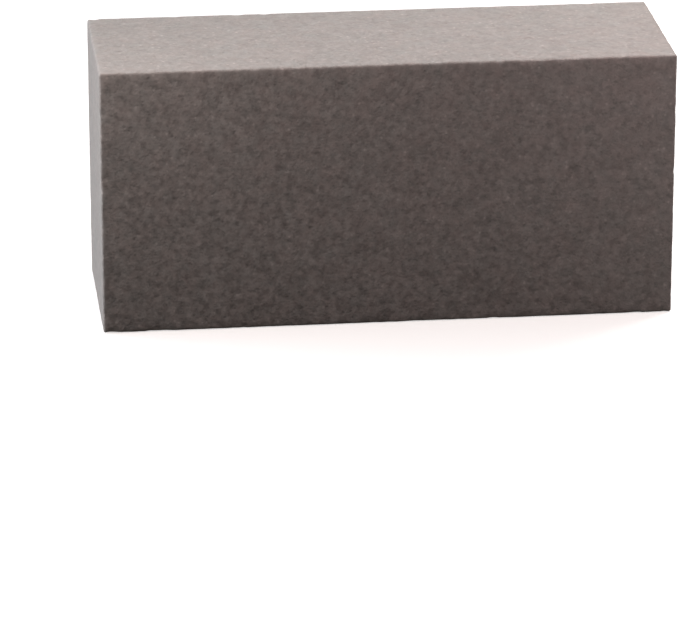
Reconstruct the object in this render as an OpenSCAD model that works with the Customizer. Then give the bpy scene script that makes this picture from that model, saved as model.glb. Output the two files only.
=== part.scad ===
// Dry floral foam brick: one piece of stiff foam, sawn to size from a larger block.
// It stands on a long narrow side, with its length along X and its thickness along Y.
// The origin is the middle of the face that it stands on.

/* [Brick] */
// Length of the brick, end to end
brick_length = 228.6; // [120:0.1:320]
// Height of the brick as it stands
brick_height = 107.95; // [60:0.05:160]
// Thickness of the brick, front to back
brick_thickness = 76.2; // [40:0.1:120]

/* [Edges] */
// Radius that handling has worn onto every edge and corner
edge_radius = 1; // [0.2:0.1:5]

/* [Hidden] */
// Facets round a full turn of a worn edge
curve_facets = 48;
// Warm grey of the foam
foam_colour = [0.52, 0.48, 0.46];
// The core is the box whose edges are the centre lines of the worn edges
core_size = [brick_length, brick_thickness, brick_height] - 2 * edge_radius * [1, 1, 1];
// Three turns that stand the brick's height, thickness and length along Z, one after another
axis_turns = [[0, 0, 0], [-90, 0, 0], [0, 90, 0]];
// Which of the core's sizes then lie along X, Y and Z
axis_orders = [[0, 1, 2], [0, 2, 1], [2, 1, 0]];

// The core, brought out to the two faces of the brick that Z passes through
module face_slab(core) {
    cube([core.x, core.y, core.z + 2 * edge_radius], center = true);
}

// A round bar down each of the four edges that run along Z
module edge_bars(core) {
    for (x = [-1, 1], y = [-1, 1])
        translate([x * core.x / 2, y * core.y / 2, 0])
            cylinder(r = edge_radius, h = core.z, center = true, $fn = curve_facets);
}

// A ball at each corner, which the three edges that meet there run into
module corner_balls(core) {
    for (x = [-1, 1], y = [-1, 1], z = [-1, 1])
        translate([x * core.x / 2, y * core.y / 2, z * core.z / 2])
            sphere(r = edge_radius, $fn = curve_facets);
}

// The brick: one cut piece of foam, plain on all six faces
module foam_block() {
    color(foam_colour)
        translate([0, 0, brick_height / 2])
            union() {
                for (i = [0 : len(axis_turns) - 1]) {
                    turned_core = [for (side = axis_orders[i]) core_size[side]];
                    rotate(axis_turns[i]) {
                        face_slab(turned_core);
                        edge_bars(turned_core);
                    }
                }
                corner_balls(core_size);
            }
}

foam_block();
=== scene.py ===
# %% [markdown]
# # A brick of dry floral foam
#
# This lesson builds one real object: a brick of stiff, dry floral foam, the kind that a florist
# pushes wired stems into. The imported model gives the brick's true size and place. The lesson adds
# what the eye sees: sawn faces, crushed edges, cut-open cells and the light of a small studio.

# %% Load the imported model
import math

import bpy
import numpy as np
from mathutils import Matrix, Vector


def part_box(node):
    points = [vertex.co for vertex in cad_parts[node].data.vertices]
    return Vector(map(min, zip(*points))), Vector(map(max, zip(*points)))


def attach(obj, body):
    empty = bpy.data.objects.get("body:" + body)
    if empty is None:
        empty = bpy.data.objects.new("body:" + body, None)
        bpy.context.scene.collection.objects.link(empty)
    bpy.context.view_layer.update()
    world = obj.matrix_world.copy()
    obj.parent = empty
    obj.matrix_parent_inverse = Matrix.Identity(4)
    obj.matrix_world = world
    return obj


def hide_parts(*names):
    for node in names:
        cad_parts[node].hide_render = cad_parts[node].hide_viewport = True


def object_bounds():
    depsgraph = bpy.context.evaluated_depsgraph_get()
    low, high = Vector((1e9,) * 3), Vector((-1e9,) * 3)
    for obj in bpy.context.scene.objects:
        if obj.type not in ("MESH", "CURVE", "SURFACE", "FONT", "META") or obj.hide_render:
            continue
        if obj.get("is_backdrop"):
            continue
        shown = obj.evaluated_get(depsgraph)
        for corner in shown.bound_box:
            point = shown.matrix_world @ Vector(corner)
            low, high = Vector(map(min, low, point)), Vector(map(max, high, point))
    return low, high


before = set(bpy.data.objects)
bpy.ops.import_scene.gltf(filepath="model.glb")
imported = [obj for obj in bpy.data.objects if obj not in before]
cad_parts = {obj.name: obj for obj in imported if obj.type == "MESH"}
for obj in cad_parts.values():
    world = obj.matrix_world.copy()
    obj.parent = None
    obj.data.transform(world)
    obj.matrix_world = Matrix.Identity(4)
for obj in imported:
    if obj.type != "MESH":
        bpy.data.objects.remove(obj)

cad_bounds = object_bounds()
brick_low, brick_high = (np.array(corner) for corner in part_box("foam_block"))
brick_size = brick_high - brick_low
brick_centre = (brick_low + brick_high) / 2
MM = 0.001
print("brick size in mm:", np.round(brick_size / MM, 2))

# %% [markdown]
# ## The camera
#
# A long lens far away keeps the brick's edges nearly parallel, as a product picture does. The
# camera stands in front, a little to the left and about twenty degrees above the horizon. It is
# aimed just under the brick's foot, so the brick sits high in the picture with clear floor below.

# %% Stand the camera in front of the brick
LENS_MM = 252.4
SENSOR_MM = 36.0
CAMERA_DISTANCE = 1.941
CAMERA_AZIMUTH = math.radians(-6.36)
CAMERA_ELEVATION = math.radians(20.12)
AIM_POINT = Vector((-15.5 * MM, 0.0, -9.0 * MM))


def direction_from(azimuth, elevation):
    """The unit vector towards a place seen at an azimuth, from -Y towards +X, and an elevation."""
    across = math.cos(elevation)
    return Vector((math.sin(azimuth) * across, -math.cos(azimuth) * across, math.sin(elevation)))


camera_data = bpy.data.cameras.new("studio_camera")
camera_data.lens = LENS_MM
camera_data.sensor_width = SENSOR_MM
camera_data.clip_start = 0.1
camera_data.clip_end = 100.0
camera = bpy.data.objects.new("studio_camera", camera_data)
bpy.context.scene.collection.objects.link(camera)
towards_camera = direction_from(CAMERA_AZIMUTH, CAMERA_ELEVATION)
camera.location = AIM_POINT + towards_camera * CAMERA_DISTANCE
camera.rotation_euler = (-towards_camera).to_track_quat("-Z", "Y").to_euler()
bpy.context.scene.camera = camera
print("camera at", [round(v, 3) for v in camera.location])

# %% [markdown]
# ## Noise and bubbles for a foam surface
#
# Real foam is uneven at many sizes at once. Two small tools give that. Smooth noise is a lattice
# of random heights with soft blends between them. Bubbles are balls scattered through the whole
# volume, one to a lattice cell, and a face that is sawn through them shows the cut hollows. Both
# work on all of the surface's points at once.

# %% Noise and bubble tools
BUBBLE_PLACE = (0.15, 0.85)


def lattice_of(points, spacing):
    """Splits points by a cubic lattice: each point's cell counted from the first, its place in that
    cell from 0 to 1, and the first cell."""
    scaled = points / spacing
    cells = np.floor(scaled).astype(int)
    first = cells.min(axis=0)
    return cells - first, scaled - cells, first


def smooth_noise(points, spacing, seed):
    """Lumps from -1 to 1: a random height at each lattice corner, and between two corners the blend
    3t^2 - 2t^3 of their heights, along X, then Y, then Z."""
    cells, place, _ = lattice_of(points, spacing)
    heights = np.random.default_rng(seed).uniform(-1, 1, cells.max(axis=0) + 2)
    blend = place * place * (3 - 2 * place)
    total = np.zeros(len(points))
    for corner in np.ndindex(2, 2, 2):
        weight = np.prod(np.where(corner, blend, 1 - blend), axis=1)
        total += weight * heights[tuple((cells + corner).T)]
    return total


def bubble_depth(points, normals, spacing, radii, share, seed):
    """How far each point is pushed in, against its normal, by bubbles that the cut has opened. A
    bubble is a ball of centre c and radius r, one to a lattice cell in the given share of cells.
    With s = point - c, a point inside reaches the far wall after s.n + sqrt(r^2 - |s|^2 + (s.n)^2)."""
    cells, _, first = lattice_of(points, spacing)
    draws = np.random.default_rng(seed)
    shape = tuple(cells.max(axis=0) + 3)
    jitter = draws.uniform(*BUBBLE_PLACE, shape + (3,))
    radius = draws.uniform(radii[0], radii[1], shape) * (draws.uniform(0, 1, shape) < share)
    deepest = np.zeros(len(points))
    for offset in np.ndindex(3, 3, 3):
        cell = cells + offset
        centre = (cell + first - 1 + jitter[tuple(cell.T)]) * spacing
        ball = radius[tuple(cell.T)]
        apart = points - centre
        along = np.sum(apart * normals, axis=1)
        inside = ball ** 2 - np.sum(apart ** 2, axis=1)
        reach = along + np.sqrt(np.maximum(inside + along ** 2, 0))
        deepest = np.where(inside > 0, np.maximum(deepest, reach), deepest)
    return deepest


# %% [markdown]
# ## The brick's surface
#
# The brick is sawn from a big foamed block, so its six faces are flat and its edges are crisp, but
# every edge has been crushed a little by handling. The surface starts as six grids on a box, with
# closer lines near the edges, where most of the shape is. Each point is then drawn onto a box
# with round edges, so the six grids close without a seam.

# %% Grid lines along one side
EDGE_RADIUS = 1.0 * MM
ARC_STEP = 0.33 * MM
EDGE_MARGIN = 7 * MM
FINE_STEP = 0.75 * MM
COARSE_STEP = 1.25 * MM


def even_steps(start, stop, longest):
    """Even positions from start up to stop, which is left out, with no step over the longest."""
    return np.linspace(start, stop, math.ceil((stop - start) / longest), endpoint=False)


def grid_lines(half):
    """Positions from -half to half: short steps over the round edge, fine steps in the margin
    beside it and coarse steps between, the same from both ends."""
    arc = half - EDGE_RADIUS
    margin = arc - EDGE_MARGIN
    right = np.concatenate([
        even_steps(0.0, margin, COARSE_STEP),
        even_steps(margin, arc, FINE_STEP),
        even_steps(arc, half, ARC_STEP),
        [half],
    ])
    return np.concatenate([-right[:0:-1], right])


half_size = brick_size / 2
lines = [grid_lines(half) for half in half_size]
print("grid lines along X, Y and Z:", [len(line) for line in lines])

# %% [markdown]
# Each face is one grid of the lines along its two sides. The six faces are also laid out flat on a
# square sheet, like an unfolded box: the four long faces side by side and the two ends above them.
# That sheet is the UV map, and it keeps every face at the same scale.

# %% Six face grids and their unfolded sheet
FACES = [(1, -1), (1, 1), (2, 1), (2, -1), (0, -1), (0, 1)]
MERGE_DISTANCE = 0.001 * MM
ACROSS_SHEET = {0: 1, 1: 2, 2: 1}
UP_SHEET = {0: 2, 1: 0, 2: 0}
SHEET_GAP = 3 * MM


def sheet_corners():
    """Each face's low corner on the sheet: long faces in a row from the left, the ends above it."""
    corners = {}
    next_across = {False: SHEET_GAP, True: SHEET_GAP}
    for axis, side in FACES:
        is_end = axis == 0
        up = SHEET_GAP + is_end * (brick_size[0] + SHEET_GAP)
        corners[axis, side] = np.array([next_across[is_end], up])
        next_across[is_end] += brick_size[ACROSS_SHEET[axis]] + SHEET_GAP
    return corners, max(next_across.values())


def face_grid(axis, side):
    """A face as a grid: its points, its quads by point number, and each point on the unfolded sheet.
    The two grid directions and the side's sign set the order of a quad's corners, so it looks out."""
    u_axis, v_axis = (axis + 1) % 3, (axis + 2) % 3
    u, v = np.meshgrid(lines[u_axis], lines[v_axis], indexing="ij")
    points = np.empty(u.shape + (3,))
    points[..., axis] = side * half_size[axis]
    points[..., u_axis] = u
    points[..., v_axis] = v
    points = points.reshape(-1, 3)
    number = np.arange(u.size).reshape(u.shape)
    quads = np.stack([number[:-1, :-1], number[1:, :-1], number[1:, 1:], number[:-1, 1:]], axis=-1)
    across, up = ACROSS_SHEET[axis], UP_SHEET[axis]
    facing = side if across == u_axis else -side
    sideways = facing * points[:, across] + half_size[across]
    flat = np.stack([sideways, points[:, up] + half_size[up]], axis=-1)
    return points, quads.reshape(-1, 4)[:, ::side], flat + corners_on_sheet[axis, side]


corners_on_sheet, sheet_side = sheet_corners()
grids = [face_grid(axis, side) for axis, side in FACES]
starts = np.cumsum([0] + [len(points) for points, _, _ in grids[:-1]])
all_points = np.concatenate([points for points, _, _ in grids])
all_quads = np.concatenate([quads + start for (_, quads, _), start in zip(grids, starts)])
all_flat = np.concatenate([flat for _, _, flat in grids]) / sheet_side
shared = np.round(all_points / MERGE_DISTANCE)
_, kept, merged = np.unique(shared, axis=0, return_index=True, return_inverse=True)
box_points = all_points[kept]
quads = merged.reshape(-1)[all_quads]
print("points:", len(box_points), "quads:", len(quads), "sheet side in mm:", round(sheet_side / MM, 1))

# %% [markdown]
# ## Round edges, saw waves, bubbles and crushed edges
#
# The saw leaves a face that is flat to a few tenths of a millimetre. It opens the larger bubbles
# into small hollows. The edges lose crumbs: most of an edge loses a little, and a few short
# stretches lose more. All of this is cut inwards, because a saw and a thumb only take foam away, and
# never deeper than the round edge can take without folding over itself.

# %% Shape the surface
SAW_WAVE = 0.15 * MM
SAW_WAVE_WIDTH = 24 * MM
FACE_GRAIN = 0.05 * MM
FACE_GRAIN_WIDTH = 2.6 * MM
CRUSH_REACH = 1.4 * MM
EDGE_CRUSH = 0.25 * MM
CRUSH_WIDTH = 3.1 * MM
CRUSH_START = -0.6
LEAST_CRUSH = 0.4
CHIP_REACH = 2.4 * MM
CHIP_WIDTH = 5.3 * MM
CHIP_START = 0.42
EDGE_CHIP = 0.40 * MM
BUBBLE_SPACING = 11 * MM
BUBBLE_RADII = (0.6 * MM, 1.0 * MM)
BUBBLE_SHARE = 0.3
DEEPEST_HOLLOW = 0.4 * MM
DEEPEST_CUT = 0.65 * EDGE_RADIUS
SAW_SEED, GRAIN_SEED, CRUSH_SEED, CHIP_SEED, BUBBLE_SEED = range(1, 6)


def rounded(points):
    """Draws points of a box onto a box with round edges: q is the point held within the half sizes
    less r, the normal n is the direction of point - q, and the result is q + r n."""
    core = np.clip(points, EDGE_RADIUS - half_size, half_size - EDGE_RADIUS)
    normals = points - core
    normals /= np.linalg.norm(normals, axis=1, keepdims=True)
    return core + EDGE_RADIUS * normals, normals


def positive(noise, floor):
    """The part of a noise that stands above a floor, stretched to run from 0 to 1."""
    return np.clip((noise - floor) / (1 - floor), 0, 1)


def beside_edge(reach):
    """1 at an edge, and less away from it, as exp(-(distance / reach)^2)."""
    return np.exp(-((to_edge / reach) ** 2))


surface, normals = rounded(box_points)
to_edge = np.sort(half_size - np.abs(box_points), axis=1)[:, 1]
saw_wave = (1 + smooth_noise(surface, SAW_WAVE_WIDTH, SAW_SEED)) / 2 * SAW_WAVE
face_grain = (1 + smooth_noise(surface, FACE_GRAIN_WIDTH, GRAIN_SEED)) / 2 * FACE_GRAIN
crushed = positive(smooth_noise(surface, CRUSH_WIDTH, CRUSH_SEED), CRUSH_START)
crush = beside_edge(CRUSH_REACH) * (LEAST_CRUSH + (1 - LEAST_CRUSH) * crushed) * EDGE_CRUSH
chipped = positive(smooth_noise(surface, CHIP_WIDTH, CHIP_SEED), CHIP_START)
chips = beside_edge(CHIP_REACH) * chipped * EDGE_CHIP
hollows = bubble_depth(surface, normals, BUBBLE_SPACING, BUBBLE_RADII, BUBBLE_SHARE, BUBBLE_SEED)
hollows = np.minimum(hollows, DEEPEST_HOLLOW)
depth = np.minimum(saw_wave + face_grain + crush + chips + hollows, DEEPEST_CUT)
finished = surface - normals * depth[:, None] + brick_centre
finished[:, 2] -= finished[:, 2].min() - brick_low[2]
print("deepest hollow in mm:", round(hollows.max() / MM, 2))
print("most lost in mm, hollows and all:", round(depth.max() / MM, 2))

# %% [markdown]
# The finished points go into one mesh object. It sits at the origin, with its place in its points.
# Two numbers are stored on each point for the material to read: how worn the foam is there, and
# how deep inside a hollow it lies, which the material uses to paint shade into the hollows.

# %% Make the mesh
UV_NAME = "OFBake"


def mesh_object(name, points, quads, uvs):
    """A smooth-shaded mesh object of quads, with one UV place for each corner of each quad."""
    mesh = bpy.data.meshes.new(name)
    mesh.vertices.add(len(points))
    mesh.vertices.foreach_set("co", points.astype(np.float32).ravel())
    mesh.loops.add(quads.size)
    mesh.loops.foreach_set("vertex_index", quads.astype(np.int32).ravel())
    mesh.polygons.add(len(quads))
    mesh.polygons.foreach_set("loop_start", np.arange(0, quads.size, 4, dtype=np.int32))
    mesh.polygons.foreach_set("use_smooth", np.ones(len(quads), dtype=bool))
    uv_map = mesh.uv_layers.new(name=UV_NAME)
    uv_map.uv.foreach_set("vector", uvs.astype(np.float32).ravel())
    mesh.update(calc_edges=True)
    mesh.validate()
    made = bpy.data.objects.new(name, mesh)
    bpy.context.scene.collection.objects.link(made)
    return made


def store_on_points(piece, name, values):
    """Keeps one number for each point of the piece, which a material reads by its name."""
    attribute = piece.data.attributes.new(name, "FLOAT", "POINT")
    attribute.data.foreach_set("value", values.astype(np.float32))


cut_brick = mesh_object("cut_brick", finished, quads, all_flat[all_quads.ravel()])
store_on_points(cut_brick, "edge_wear", np.clip((crush + chips) / EDGE_CHIP, 0, 1))
# The hollow depth lets the material paint shade into the hollows.
store_on_points(cut_brick, "hollow_depth", hollows / DEEPEST_HOLLOW)
print("triangles:", 2 * len(cut_brick.data.polygons))

# %% [markdown]
# ## Foam as a material
#
# Cut foam has almost no gloss. Its colour is close to one warm grey, and what the eye reads as
# grain is mostly small light and shade, from torn cells that each lean their own way. The patterns
# here fill space, as cells do, so a face shows a slice through them and they meet round every edge.
# A short helper makes each node, so that the recipe below it stays readable.

# %% Node helpers
foam = bpy.data.materials.new("floral_foam")
foam.use_nodes = True
foam_nodes = foam.node_tree.nodes
foam_links = foam.node_tree.links
foam_shader = foam_nodes["Principled BSDF"]


def node(kind, inputs, **settings):
    """Adds a node. Each input is a number, a colour or another node's output to link from."""
    added = foam_nodes.new("ShaderNode" + kind)
    for name, value in settings.items():
        setattr(added, name, value)
    for name, value in inputs.items():
        if isinstance(value, bpy.types.NodeSocket):
            foam_links.new(value, added.inputs[name])
        else:
            added.inputs[name].default_value = value
    return added


def combined(operation, first, second):
    """The result of a sum, product or other operation on two numbers or outputs."""
    return node("Math", {0: first, 1: second}, operation=operation).outputs[0]


def between(value, low, high, to_low=0.0, to_high=1.0):
    """Carries a value from the range low to high onto another range, held at its ends."""
    inputs = {"Value": value, "From Min": low, "From Max": high, "To Min": to_low, "To Max": to_high}
    return node("MapRange", inputs).outputs["Result"]


def vectors(operation, first, second):
    """The sum, difference or product, number by number, of two vectors."""
    return node("VectorMath", {0: first, 1: second}, operation=operation).outputs["Vector"]


def scaled(vector, factor):
    """A vector made longer or shorter by a factor."""
    return node("VectorMath", {0: vector, "Scale": factor}, operation="SCALE").outputs["Vector"]


place = node("TexCoord", {}).outputs["Object"]
BOWL_FLOOR, BOWL_RIM = 0.1, 0.6
HALF = (0.5, 0.5, 0.5)
NOISE_DETAIL = 1.0


def cells(width, shift):
    """Foam cells of about that width, slid by a shift so that two patterns don't line up. Gives a
    bowl to each cell, 0 at its floor and 1 at its rim, the distance from its middle in widths, one
    random number to a cell, and one random direction to a cell."""
    moved = vectors("ADD", place, (shift, shift, shift))
    pattern = node("TexVoronoi", {"Vector": moved, "Scale": 1 / width}).outputs
    bowl = between(pattern["Distance"], BOWL_FLOOR, BOWL_RIM)
    bowl.node.interpolation_type = "SMOOTHSTEP"
    chance = node("SeparateColor", {"Color": pattern["Color"]}).outputs[0]
    return bowl, pattern["Distance"], chance, vectors("SUBTRACT", pattern["Color"], HALF)


def soft_noise(width, shift):
    """A noise node with lumps of about that width and some at half of it."""
    moved = vectors("ADD", place, (shift, shift, shift))
    return node("TexNoise", {"Vector": moved, "Scale": 1 / width, "Detail": NOISE_DETAIL})


def lumps(width, shift):
    """Soft lumps of about that width, from 0 to 1 around a half."""
    return soft_noise(width, shift).outputs["Fac"]


def drift(width, shift):
    """A random direction that turns softly from place to place, over about that width."""
    return vectors("SUBTRACT", soft_noise(width, shift).outputs["Color"], HALF)

# %% [markdown]
# Coarse cells a little over a millimetre wide and fine ones half as wide show in a close view.
# From further off the eye reads clumps of torn cells, two to five millimetres across, which tilt
# together, and a direction that drifts softly over the surface gives those. A height map would give
# them too, but its slopes under a raking light look like stone. Scattered pits are cells that the
# saw opened deeply, and their darkness is painted shade. Pale flecks are painted glints, for bits of
# cell wall that catch the light. Clumps and patches of tone show where the foam rose unevenly. The
# points' own two numbers tell where the foam is worn and where it is hollow.

# %% Cells, pits, flecks and patches
COARSE_CELL = 1.2 * MM
FINE_CELL = 0.6 * MM
SOFT_DRIFT = 2.2 * MM
BROAD_DRIFT = 5.0 * MM
CLUMP = 2.4 * MM
PATCH = 5.0 * MM
BROAD_PATCH = 14.0 * MM
PIT_SPACING = 3.2 * MM
FLECK_SPACING = 2.3 * MM

SPOT_CORE, SPOT_RIM = 0.08, 0.32
FAINTEST_CHANCE, FULL_CHANCE = 0.35, 0.9
SHIFTS = {
    "coarse_cells": 0.0,
    "fine_cells": 0.31,
    "soft_drift": 1.9,
    "broad_drift": 2.7,
    "clumps": 0.0,
    "patches": 0.7,
    "broad_patches": 1.3,
    "pits": 0.53,
    "painted_glints": 0.87,
    "tints": 2.1,
}

coarse_cells, _, coarse_chance, coarse_way = cells(COARSE_CELL, SHIFTS["coarse_cells"])
fine_cells, _, fine_chance, _ = cells(FINE_CELL, SHIFTS["fine_cells"])
soft_way = drift(SOFT_DRIFT, SHIFTS["soft_drift"])
broad_way = drift(BROAD_DRIFT, SHIFTS["broad_drift"])
clumps = lumps(CLUMP, SHIFTS["clumps"])
patches = lumps(PATCH, SHIFTS["patches"])
broad_patches = lumps(BROAD_PATCH, SHIFTS["broad_patches"])


def spots(spacing, shift):
    """Small round spots, one to a cell of a wide pattern, strong in some cells and absent in others."""
    _, distance, chance, _ = cells(spacing, shift)
    spot = between(distance, SPOT_CORE, SPOT_RIM, 1.0, 0.0)
    return combined("MULTIPLY", spot, between(chance, FAINTEST_CHANCE, FULL_CHANCE))


pits = spots(PIT_SPACING, SHIFTS["pits"])
# Painted glints: pale spots in the colour for bits of cell wall that catch the light.
painted_glints = spots(FLECK_SPACING, SHIFTS["painted_glints"])

edge_wear = node("Attribute", {}, attribute_name="edge_wear").outputs["Fac"]
hollow_depth = node("Attribute", {}, attribute_name="hollow_depth").outputs["Fac"]

# %% [markdown]
# The colour starts as one warm grey, and each layer makes it a little lighter or darker. The layers
# are brightness factors near one, so they leave the hue alone. Each cell is painted a little darker at
# its floor and lighter at its rim, and pits and the floors of hollows are painted darker: all painted
# shade. Pale flecks are painted glints. Worn edges are paler, because broken cells make a fine dust.
# Only the last step touches the hue: wide patches that are a shade warmer or cooler.

# %% The foam's colour
FOAM_COLOUR = (0.407, 0.360, 0.333)
TINT_PATCH = 7.0 * MM
COOL_TINT = (0.96, 1.007, 1.013, 1.0)
WARM_TINT = (1.04, 0.993, 0.987, 1.0)
COARSE_CELL_PAINTED_SHADE = 0.03
FINE_CELL_PAINTED_SHADE = 0.015
COARSE_MIX = 0.02
FINE_MIX = 0.02
CLUMP_CONTRAST = 0.08
PATCH_CONTRAST = 0.07
BROAD_CONTRAST = 0.02
PIT_PAINTED_SHADE = -0.13
FLECK_PAINTED_GLINT = 0.32
HOLLOW_PAINTED_SHADE = -0.10
EDGE_LIGHTENING = 0.08
LUMP_LOW, LUMP_HIGH = 0.2, 0.8


def around_one(value, low, high, contrast):
    """A brightness factor that runs from 1 - contrast at low to 1 + contrast at high."""
    return between(value, low, high, 1 - contrast, 1 + contrast)


# Painted shade: the coarse cells here and the fine cells below are darker at each cell's floor and
# lighter at its rim.
brightness = around_one(coarse_cells, 0.0, 1.0, COARSE_CELL_PAINTED_SHADE)
for factor in (
    around_one(fine_cells, 0.0, 1.0, FINE_CELL_PAINTED_SHADE),
    around_one(coarse_chance, 0.0, 1.0, COARSE_MIX),
    around_one(fine_chance, 0.0, 1.0, FINE_MIX),
    around_one(clumps, LUMP_LOW, LUMP_HIGH, CLUMP_CONTRAST),
    around_one(patches, LUMP_LOW, LUMP_HIGH, PATCH_CONTRAST),
    around_one(broad_patches, LUMP_LOW, LUMP_HIGH, BROAD_CONTRAST),
    # Painted shade: the colour is darker inside the pits.
    between(pits, 0.0, 1.0, 1.0, 1 + PIT_PAINTED_SHADE),
    # Painted glints: the colour is paler at the flecks.
    between(painted_glints, 0.0, 1.0, 1.0, 1 + FLECK_PAINTED_GLINT),
    # Painted shade: the colour is darker on the floors of hollows.
    between(hollow_depth, 0.0, 1.0, 1.0, 1 + HOLLOW_PAINTED_SHADE),
    between(edge_wear, 0.0, 1.0, 1.0, 1 + EDGE_LIGHTENING),
):
    brightness = combined("MULTIPLY", brightness, factor)
tints = lumps(TINT_PATCH, SHIFTS["tints"])
warm_or_cool = node("Mix", {0: tints, "A": COOL_TINT, "B": WARM_TINT}, data_type="RGBA").outputs[2]
tinted = vectors("MULTIPLY", warm_or_cool, FOAM_COLOUR)
foam_links.new(scaled(tinted, brightness), foam_shader.inputs["Base Color"])

# %% [markdown]
# Cells, clumps and pits, weighed by a small depth each, give the bump, whose height is in metres.
# Three directions also lean the surface: one that changes from cell to cell and two that drift. The
# leaning does most of the shading, and shows most where the light only grazes a face. The floor of a
# cell is a shade smoother than its torn rim, so roughness follows the cells too.

# %% The foam's relief and roughness
CELL_RELIEF = 0.05 * MM
FINE_RELIEF = 0.015 * MM
CLUMP_RELIEF = 0.03 * MM
PIT_RELIEF = -0.06 * MM
COARSE_LEAN = 0.045
SOFT_LEAN = 0.55
BROAD_LEAN = 0.1
CELL_ROUGHNESS = (0.88, 1.0)
FOAM_IOR = 1.45
FOAM_SPECULAR = 0.15
SHEEN_WEIGHT = 0.08
SHEEN_ROUGHNESS = 0.6

relief = combined("MULTIPLY", coarse_cells, CELL_RELIEF)
for layer, height in (
    (fine_cells, FINE_RELIEF),
    (clumps, CLUMP_RELIEF),
    (pits, PIT_RELIEF),
):
    relief = combined("ADD", relief, combined("MULTIPLY", layer, height))
facing = node("NewGeometry", {}).outputs["Normal"]
for way, lean in ((coarse_way, COARSE_LEAN), (soft_way, SOFT_LEAN), (broad_way, BROAD_LEAN)):
    facing = vectors("ADD", facing, scaled(way, lean))
facing = node("VectorMath", {0: facing}, operation="NORMALIZE").outputs[0]
bump = node("Bump", {"Height": relief, "Normal": facing, "Distance": 1.0, "Strength": 1.0})
foam_links.new(bump.outputs["Normal"], foam_shader.inputs["Normal"])
foam_links.new(between(coarse_cells, 0.0, 1.0, *CELL_ROUGHNESS), foam_shader.inputs["Roughness"])
foam_shader.inputs["IOR"].default_value = FOAM_IOR
foam_shader.inputs["Specular IOR Level"].default_value = FOAM_SPECULAR
foam_shader.inputs["Sheen Weight"].default_value = SHEEN_WEIGHT
foam_shader.inputs["Sheen Roughness"].default_value = SHEEN_ROUGHNESS
cut_brick.data.materials.append(foam)
print("foam material nodes:", len(foam_nodes))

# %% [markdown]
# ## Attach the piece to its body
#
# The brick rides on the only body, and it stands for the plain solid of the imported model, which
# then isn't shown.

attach(cut_brick, "root")
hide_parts("foam_block")
print("cut_brick rides on root and stands for foam_block")

# %% [markdown]
# ## A small studio: the floor
#
# The floor is a pale sheet that runs out of sight and meets a white backdrop without a line. A part
# of its brightness is its own glow, which keeps it white far away, and the rest takes the light and
# shows the brick's soft shadow. A real white sheet would throw much light back up and flatten the
# dark front, so for every ray but the camera's this one is dark grey.

# %% The floor
FLOOR_SIDE = 40.0
FLOOR_COLOUR = (0.84, 0.80, 0.79, 1)
FLOOR_GLOW = (1.0, 0.97, 0.945, 1)
FLOOR_GLOW_STRENGTH = 0.635
FLOOR_RETURN = (0.12, 0.115, 0.11, 1)


def studio_floor():
    """One big square under the brick, at the height of the brick's foot."""
    corner = FLOOR_SIDE / 2
    around = ((-corner, -corner), (corner, -corner), (corner, corner), (-corner, corner))
    corners = [(x, y, brick_low[2]) for x, y in around]
    mesh = bpy.data.meshes.new("studio_floor")
    mesh.from_pydata(corners, [], [(0, 1, 2, 3)])
    made = bpy.data.objects.new("studio_floor", mesh)
    bpy.context.scene.collection.objects.link(made)
    return made


def floor_material():
    """Pale to the eye, with a part that glows by itself, and darker for the light that it returns."""
    sheet = bpy.data.materials.new("studio_floor")
    sheet.use_nodes = True
    nodes = sheet.node_tree.nodes
    links = sheet.node_tree.links
    nodes.clear()
    output = nodes.new("ShaderNodeOutputMaterial")
    seen = nodes.new("ShaderNodeLightPath")
    mix = nodes.new("ShaderNodeMixShader")
    returned = nodes.new("ShaderNodeBsdfDiffuse")
    returned.inputs["Color"].default_value = FLOOR_RETURN
    pale = nodes.new("ShaderNodeBsdfDiffuse")
    pale.inputs["Color"].default_value = FLOOR_COLOUR
    glow = nodes.new("ShaderNodeEmission")
    glow.inputs["Color"].default_value = FLOOR_GLOW
    glow.inputs["Strength"].default_value = FLOOR_GLOW_STRENGTH
    both = nodes.new("ShaderNodeAddShader")
    links.new(pale.outputs[0], both.inputs[0])
    links.new(glow.outputs[0], both.inputs[1])
    links.new(seen.outputs["Is Camera Ray"], mix.inputs[0])
    links.new(returned.outputs[0], mix.inputs[1])
    links.new(both.outputs[0], mix.inputs[2])
    links.new(mix.outputs[0], output.inputs["Surface"])
    return sheet


floor = studio_floor()
floor.data.materials.append(floor_material())
floor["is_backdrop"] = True
print("floor side in metres:", FLOOR_SIDE)

# %% [markdown]
# ## The lights
#
# Two wide suns do most of the work: one from behind and above for the top and the back, and a
# cooler one from the left, which fills the left end and only grazes the front. A softbox behind on
# the right adds to the top. Four weak softboxes reach the front, two warm ones that rake it from
# above, which brings out the grain, and two low ones that open its lower half.

# %% The lights


def sun(name, azimuth, elevation, strength, colour, spread):
    """A far, soft light from an azimuth and elevation in degrees, whose disc is spread degrees wide."""
    data = bpy.data.lights.new(name, "SUN")
    data.energy = strength
    data.color = colour
    data.angle = math.radians(spread)
    made = bpy.data.objects.new(name, data)
    towards = direction_from(math.radians(azimuth), math.radians(elevation))
    made.rotation_euler = towards.to_track_quat("Z", "Y").to_euler()
    bpy.context.scene.collection.objects.link(made)
    return made


def softbox(name, place, target, width, strength, colour):
    """A square soft light at a place, turned to a target, of a power in watts."""
    data = bpy.data.lights.new(name, "AREA")
    data.size = width
    data.energy = strength
    data.color = colour
    made = bpy.data.objects.new(name, data)
    made.location = place
    made.rotation_euler = (Vector(place) - Vector(target)).to_track_quat("Z", "Y").to_euler()
    made.visible_camera = False
    bpy.context.scene.collection.objects.link(made)
    return made


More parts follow.
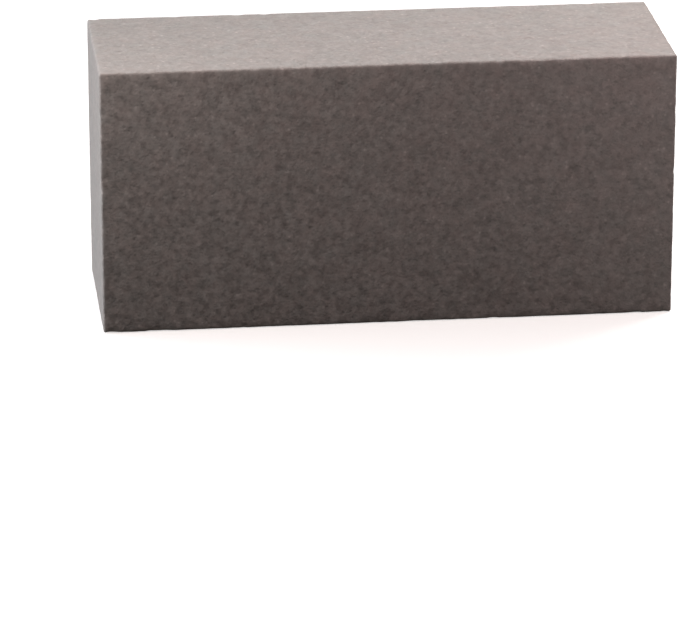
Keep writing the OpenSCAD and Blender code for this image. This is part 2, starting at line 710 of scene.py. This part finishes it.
WHITE = (1.0, 1.0, 1.0)
HIGH_BLUE = (0.861, 0.965, 1.0)
SIDE_BLUE = (0.849, 0.925, 1.0)
BACK_CREAM = (1.0, 0.957, 0.916)
LEFT_WARM = (1.0, 0.88, 0.858)
RIGHT_ROSE = (1.0, 0.74, 0.77)
SUN_SETTINGS = ("name", "azimuth", "elevation", "strength", "colour", "spread")
SUNS = (
    ("high_key", 150, 50, 0.805, HIGH_BLUE, 70),
    ("left_side", -110, 10, 4.33, SIDE_BLUE, 60),
)
BOX_SETTINGS = ("name", "place", "width", "strength", "colour")
SOFTBOXES = (
    ("back_right_box", (0.35, 0.2, 0.45), 0.2, 1.4, BACK_CREAM),
    ("front_left_rake", (-0.17, -0.12, 0.28), 0.1, 0.178, LEFT_WARM),
    ("front_right_rake", (0.2, -0.13, 0.28), 0.12, 0.15, RIGHT_ROSE),
    ("low_left_fill", (-0.25, -0.12, 0.2), 0.1, 0.068, WHITE),
    ("low_right_fill", (0.3, -0.15, 0.12), 0.12, 0.08, WHITE),
)
for values in SUNS:
    sun(**dict(zip(SUN_SETTINGS, values)))
for values in SOFTBOXES:
    softbox(target=tuple(brick_centre), **dict(zip(BOX_SETTINGS, values)))
print("lights:", len(SUNS), "suns and", len(SOFTBOXES), "softboxes")

# %% [markdown]
# ## The backdrop
#
# The world behind everything is white to the camera, so the picture ends in clean white. To every
# other ray it is nearly black, so that it doesn't light the brick and flatten the shading.

# %% The backdrop
BACKDROP_SEEN = 1.0
BACKDROP_LIGHT = 0.02
world = bpy.data.worlds.new("white_studio")
bpy.context.scene.world = world
world.use_nodes = True
world_nodes = world.node_tree.nodes
world_links = world.node_tree.links
backdrop = world_nodes["Background"]
seen_by_camera = world_nodes.new("ShaderNodeLightPath").outputs["Is Camera Ray"]
backdrop_strength = world_nodes.new("ShaderNodeMapRange")
backdrop_strength.inputs["To Min"].default_value = BACKDROP_LIGHT
backdrop_strength.inputs["To Max"].default_value = BACKDROP_SEEN
backdrop.inputs["Color"].default_value = (*WHITE, 1.0)
world_links.new(seen_by_camera, backdrop_strength.inputs["Value"])
world_links.new(backdrop_strength.outputs[0], backdrop.inputs["Strength"])
bpy.context.scene.view_settings.view_transform = "Standard"
print("backdrop ready:", world.name)

# %% [markdown]
# ## Finish
#
# The last step prints how far the finished brick's bounds lie from the imported model's, at the low
# and the high corner.

# %% Compare the sizes and finish
made_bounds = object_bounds()
difference = (np.array(made_bounds) - np.array(cad_bounds)) / MM
print("size difference in mm, low and high corner:", difference.round(3).tolist())
